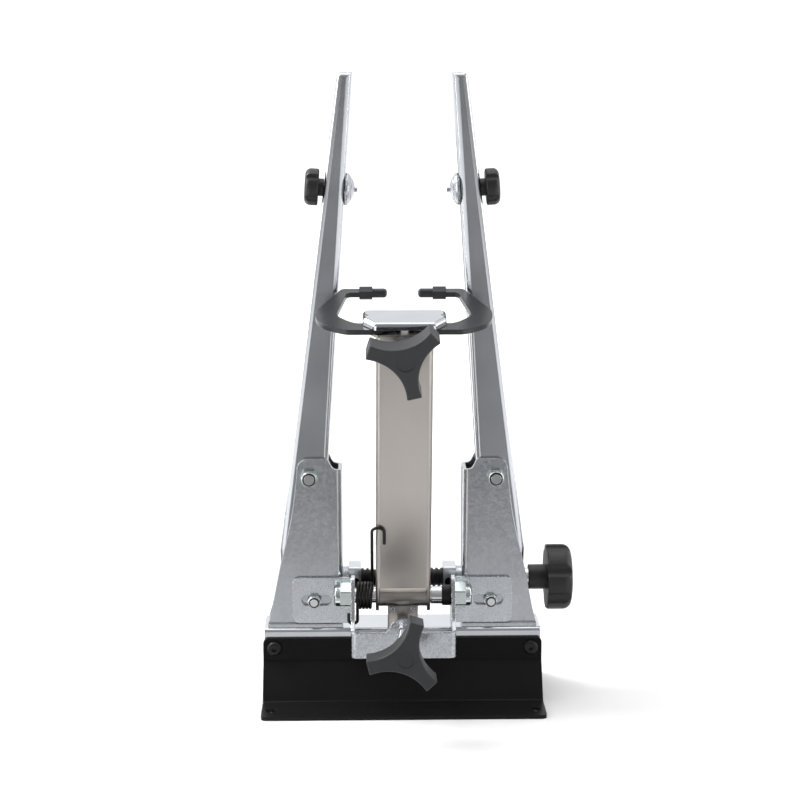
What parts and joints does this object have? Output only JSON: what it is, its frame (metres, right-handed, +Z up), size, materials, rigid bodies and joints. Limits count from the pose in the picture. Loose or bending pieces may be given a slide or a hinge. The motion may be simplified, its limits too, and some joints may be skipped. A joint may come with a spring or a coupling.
{
  "type": "wheel truing stand",
  "caption": "Bench-mounted bicycle wheel truing stand with two screw-spread uprights, axle clamps and a tilting caliper arm.",
  "frame": {"origin": "centre of the bench bolt pattern, on the bench surface", "axes": "+Z up, -Y towards the user, +X to the user's right (the side of the spread knob)"},
  "size_m": [0.2475, 0.204, 0.495],
  "materials": {
    "zinc_steel": "bright zinc plate",
    "bright_chrome": "polished",
    "satin_nickel": "satin nickel plate",
    "black_paint": "gloss black",
    "black_oxide": "black oxide",
    "caliper_grey": "dark grey satin",
    "black_plastic": "satin",
    "grey_plastic": "fine satin"
  },
  "bodies": {
    "base": {"base_rail": "zinc_steel", "front_base_plate": "black_paint", "rear_base_plate": "black_paint", "base_screws": "black_oxide", "base_nuts": "bright_chrome", "rail_screws": "black_oxide", "left_foot": "zinc_steel", "right_foot": "zinc_steel", "pivot_bolts": "bright_chrome", "pivot_nuts": "bright_chrome", "pivot_sleeves": "bright_chrome", "arm_bracket": "zinc_steel", "bracket_bolts": "bright_chrome", "bracket_nuts": "bright_chrome", "bracket_insert": "black_oxide", "cross_shaft": "bright_chrome", "shaft_nuts": "bright_chrome", "shaft_spacer": "bright_chrome", "shaft_bush": "black_oxide", "torsion_spring": "black_oxide", "rod_bearing": "zinc_steel", "rod_bearing_cap": "zinc_steel", "cap_screws": "bright_chrome"},
    "spread_rod": {"spread_screw": "black_oxide", "spread_knob": "black_plastic", "knob_collar": "bright_chrome"},
    "left_nut": {"left_spread_nut": "zinc_steel"},
    "right_nut": {"right_spread_nut": "zinc_steel"},
    "left_leg": {"left_upright": "zinc_steel", "left_hub_washer": "bright_chrome", "left_hub_insert": "bright_chrome"},
    "right_leg": {"right_upright": "zinc_steel", "right_hub_washer": "bright_chrome", "right_hub_insert": "bright_chrome"},
    "left_cone": {"left_hub_cone": "bright_chrome"},
    "right_cone": {"right_hub_cone": "bright_chrome"},
    "left_clamp": {"left_axle_stud": "bright_chrome", "left_axle_knob": "black_plastic"},
    "right_clamp": {"right_axle_stud": "bright_chrome", "right_axle_knob": "black_plastic"},
    "arm": {"caliper_arm": "satin_nickel", "arm_sleeve": "satin_nickel", "arm_tail": "satin_nickel", "tail_rivets": "bright_chrome", "head_plate": "satin_nickel", "head_cover": "bright_chrome", "head_posts": "bright_chrome", "caliper_pivots": "bright_chrome", "screw_collar": "bright_chrome", "caliper_spring": "black_oxide"},
    "slider": {"caliper_slider": "black_oxide"},
    "head_screw": {"caliper_screw": "bright_chrome", "caliper_knob": "grey_plastic"},
    "left_finger": {"left_caliper": "caliper_grey", "left_caliper_tip": "caliper_grey"},
    "right_finger": {"right_caliper": "caliper_grey", "right_caliper_tip": "caliper_grey"},
    "pad": {"arm_screw_pad": "bright_chrome"},
    "height_screw": {"arm_screw": "bright_chrome", "arm_knob": "grey_plastic"}
  },
  "joints": [
    {"name": "spread_knob_turn", "type": "hinge", "parent": "base", "child": "spread_rod", "pos_m": [0, 0, 0.0935], "axis": [1, 0, 0], "range_deg": [-200, 1425]},
    {"name": "left_nut_travel", "type": "slide", "parent": "base", "child": "left_nut", "axis": [1, 0, 0], "range_m": [-0.00225, 0.0159]},
    {"name": "right_nut_travel", "type": "slide", "parent": "base", "child": "right_nut", "axis": [-1, 0, 0], "range_m": [-0.00225, 0.0159]},
    {"name": "left_upright_swing", "type": "hinge", "parent": "base", "child": "left_leg", "pos_m": [-0.0737, 0, 0.1798], "axis": [0, -1, 0], "range_deg": [-1.5, 10.55]},
    {"name": "right_upright_swing", "type": "hinge", "parent": "base", "child": "right_leg", "pos_m": [0.0737, 0, 0.1798], "axis": [0, 1, 0], "range_deg": [-1.5, 10.55]},
    {"name": "left_cone_travel", "type": "slide", "parent": "left_leg", "child": "left_cone", "axis": [0.9978, 0, -0.0663], "range_m": [0, 0.0025]},
    {"name": "left_axle_knob_turn", "type": "hinge", "parent": "left_cone", "child": "left_clamp", "pos_m": [-0.04132, 0, 0.4058], "axis": [0.9978, 0, -0.0663], "range_deg": [0, 725]},
    {"name": "right_cone_travel", "type": "slide", "parent": "right_leg", "child": "right_cone", "axis": [-0.9978, 0, -0.0663], "range_m": [0, 0.0025]},
    {"name": "right_axle_knob_turn", "type": "hinge", "parent": "right_cone", "child": "right_clamp", "pos_m": [0.04132, 0, 0.4058], "axis": [-0.9978, 0, -0.0663], "range_deg": [0, 725]},
    {"name": "arm_tilt", "type": "hinge", "parent": "base", "child": "arm", "pos_m": [0, -0.0288, 0.0874], "axis": [1, 0, 0], "range_deg": [-0.5, 24], "deforming": ["torsion_spring"]},
    {"name": "arm_screw_travel", "type": "slide", "parent": "base", "child": "pad", "axis": [0, 1, 0], "range_m": [-0.00025, 0.0084]},
    {"name": "arm_knob_turn", "type": "hinge", "parent": "pad", "child": "height_screw", "pos_m": [0, -0.08, 0.0665], "axis": [0, 1, 0], "range_deg": [-30, 1490]},
    {"name": "slider_travel", "type": "slide", "parent": "arm", "child": "slider", "axis": [0, 0.9744, 0.225], "range_m": [-0.0023, 0.0024]},
    {"name": "caliper_knob_turn", "type": "hinge", "parent": "slider", "child": "head_screw", "pos_m": [0, -0.09769, 0.29687], "axis": [0, 0.9744, 0.225], "range_deg": [-640, 680]},
    {"name": "left_caliper_swing", "type": "hinge", "parent": "arm", "child": "left_finger", "pos_m": [-0.022, -0.08537, 0.31018], "axis": [0, -0.225, 0.9744], "range_deg": [-7.6, 8], "deforming": ["caliper_spring"]},
    {"name": "right_caliper_swing", "type": "hinge", "parent": "arm", "child": "right_finger", "pos_m": [0.022, -0.08537, 0.31018], "axis": [0, 0.225, -0.9744], "range_deg": [-7.6, 8]}
  ],
  "couplings": [
    {"joint": "left_nut_travel", "follows": "spread_knob_turn", "m_per_rad": 0.00063662},
    {"joint": "right_nut_travel", "follows": "spread_knob_turn", "m_per_rad": 0.00063662},
    {"joint": "left_upright_swing", "follows": "spread_knob_turn", "ratio": 0.007364},
    {"joint": "right_upright_swing", "follows": "spread_knob_turn", "ratio": 0.007364},
    {"joint": "left_axle_knob_turn", "follows": "left_cone_travel", "rad_per_m": 5026.5},
    {"joint": "right_axle_knob_turn", "follows": "right_cone_travel", "rad_per_m": 5026.5},
    {"joint": "arm_screw_travel", "follows": "arm_knob_turn", "m_per_rad": 0.00031831},
    {"joint": "arm_tilt", "follows": "arm_knob_turn", "ratio": 0.016076},
    {"joint": "slider_travel", "follows": "caliper_knob_turn", "m_per_rad": 0.00019894},
    {"joint": "left_caliper_swing", "follows": "caliper_knob_turn", "ratio": 0.011703},
    {"joint": "right_caliper_swing", "follows": "caliper_knob_turn", "ratio": 0.011703}
  ]
}
